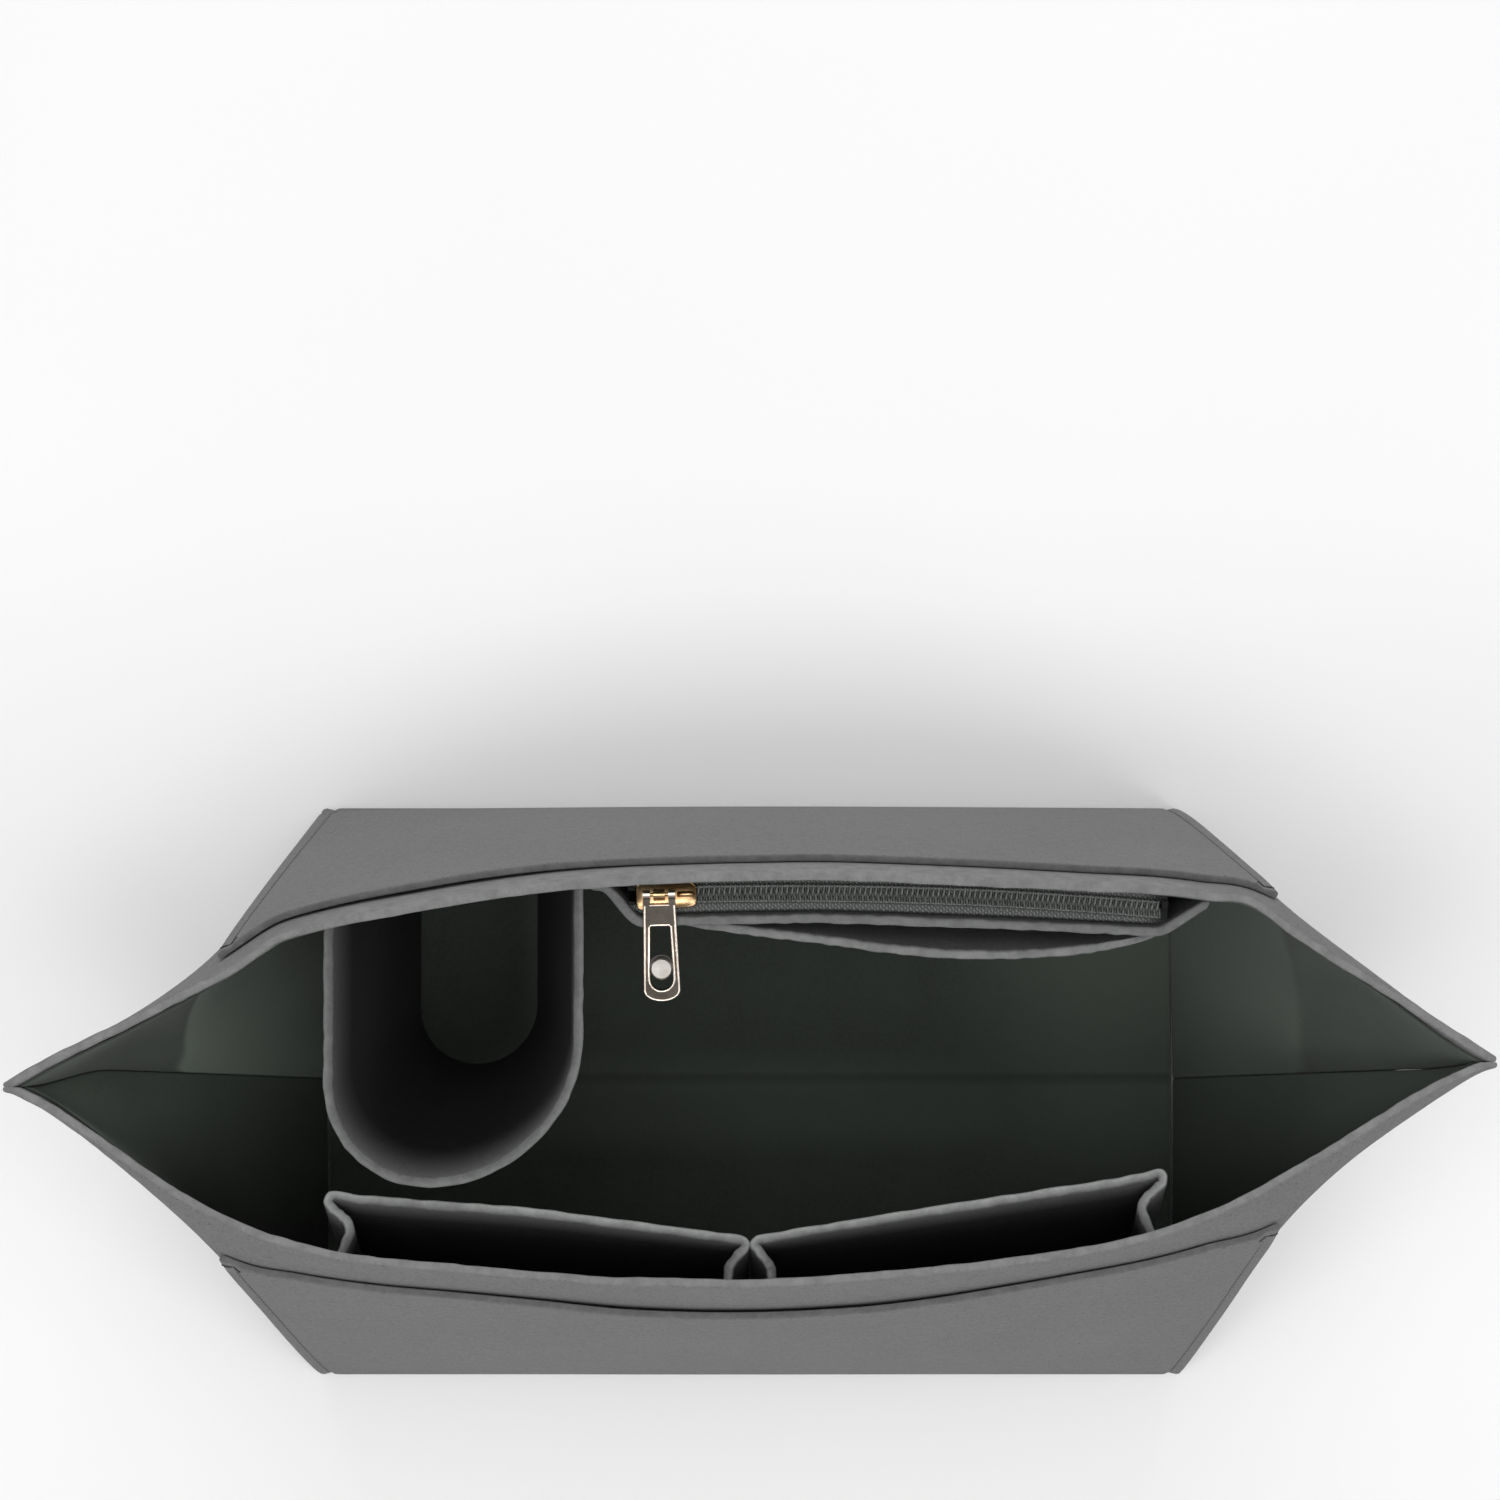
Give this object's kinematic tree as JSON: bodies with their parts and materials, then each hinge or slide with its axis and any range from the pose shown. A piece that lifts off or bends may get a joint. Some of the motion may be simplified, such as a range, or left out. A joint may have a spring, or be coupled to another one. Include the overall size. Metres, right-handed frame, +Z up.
{
  "type": "purse organizer insert",
  "caption": "Grey felt organizer insert for a tote, with a lens-shaped open rim, a bottle holder, pleated and slip pockets, a zip pocket and open outer pockets.",
  "frame": {"origin": "middle of the base's underside", "axes": "+Z up, +X from tip to tip with the bottle holder on -X, +Y to the back wall, which carries the zip pocket"},
  "size_m": [0.4696, 0.1982, 0.2078],
  "materials": {
    "felt_grey": "pressed felt, matt",
    "felt_pocket": "pressed felt, matt",
    "lining_green": "brushed lining, matt",
    "zip_tape": "woven tape",
    "zip_coil": "satin nylon coil",
    "slider_gold": "polished gold plating",
    "pull_gold": "polished pale gold plating"
  },
  "bodies": {
    "insert": {"front_wall": "felt_grey", "back_wall": "felt_grey", "base_panel": "felt_grey", "front_outer_pocket": "felt_grey", "back_outer_pocket": "felt_grey", "bottle_holder": "felt_pocket", "front_pocket_left": "felt_pocket", "front_pocket_right": "felt_pocket", "zip_pocket_panel": "felt_pocket", "back_slip_pocket": "felt_pocket", "front_lining": "lining_green", "back_lining": "lining_green", "base_lining": "lining_green", "zipper_tape_rear": "zip_tape", "zipper_tape_front": "zip_tape", "zipper_coil_rear": "zip_coil", "zipper_coil_front": "zip_coil", "zipper_top_stop_rear": "zip_coil", "zipper_top_stop_front": "zip_coil", "zipper_end_stop": "zip_coil"},
    "zip_slider": {"slider_body": "slider_gold"},
    "zip_pull": {"pull_pin": "slider_gold", "pull_tab": "pull_gold", "pull_stud": "pull_gold"}
  },
  "joints": [
    {"name": "zip_travel", "type": "hinge", "parent": "insert", "child": "zip_slider", "pos_m": [0.01247, -1.25186, 0.18396], "axis": [0, 0, -1], "range_deg": [0, 6.35], "deforming": ["zipper_coil_rear", "zipper_coil_front"]},
    {"name": "pull_swing", "type": "hinge", "parent": "zip_slider", "child": "zip_pull", "pos_m": [-0.0287, 0.05827, 0.19116], "axis": [-0.9996, -0.0297, 0], "range_deg": [0, 100]}
  ]
}
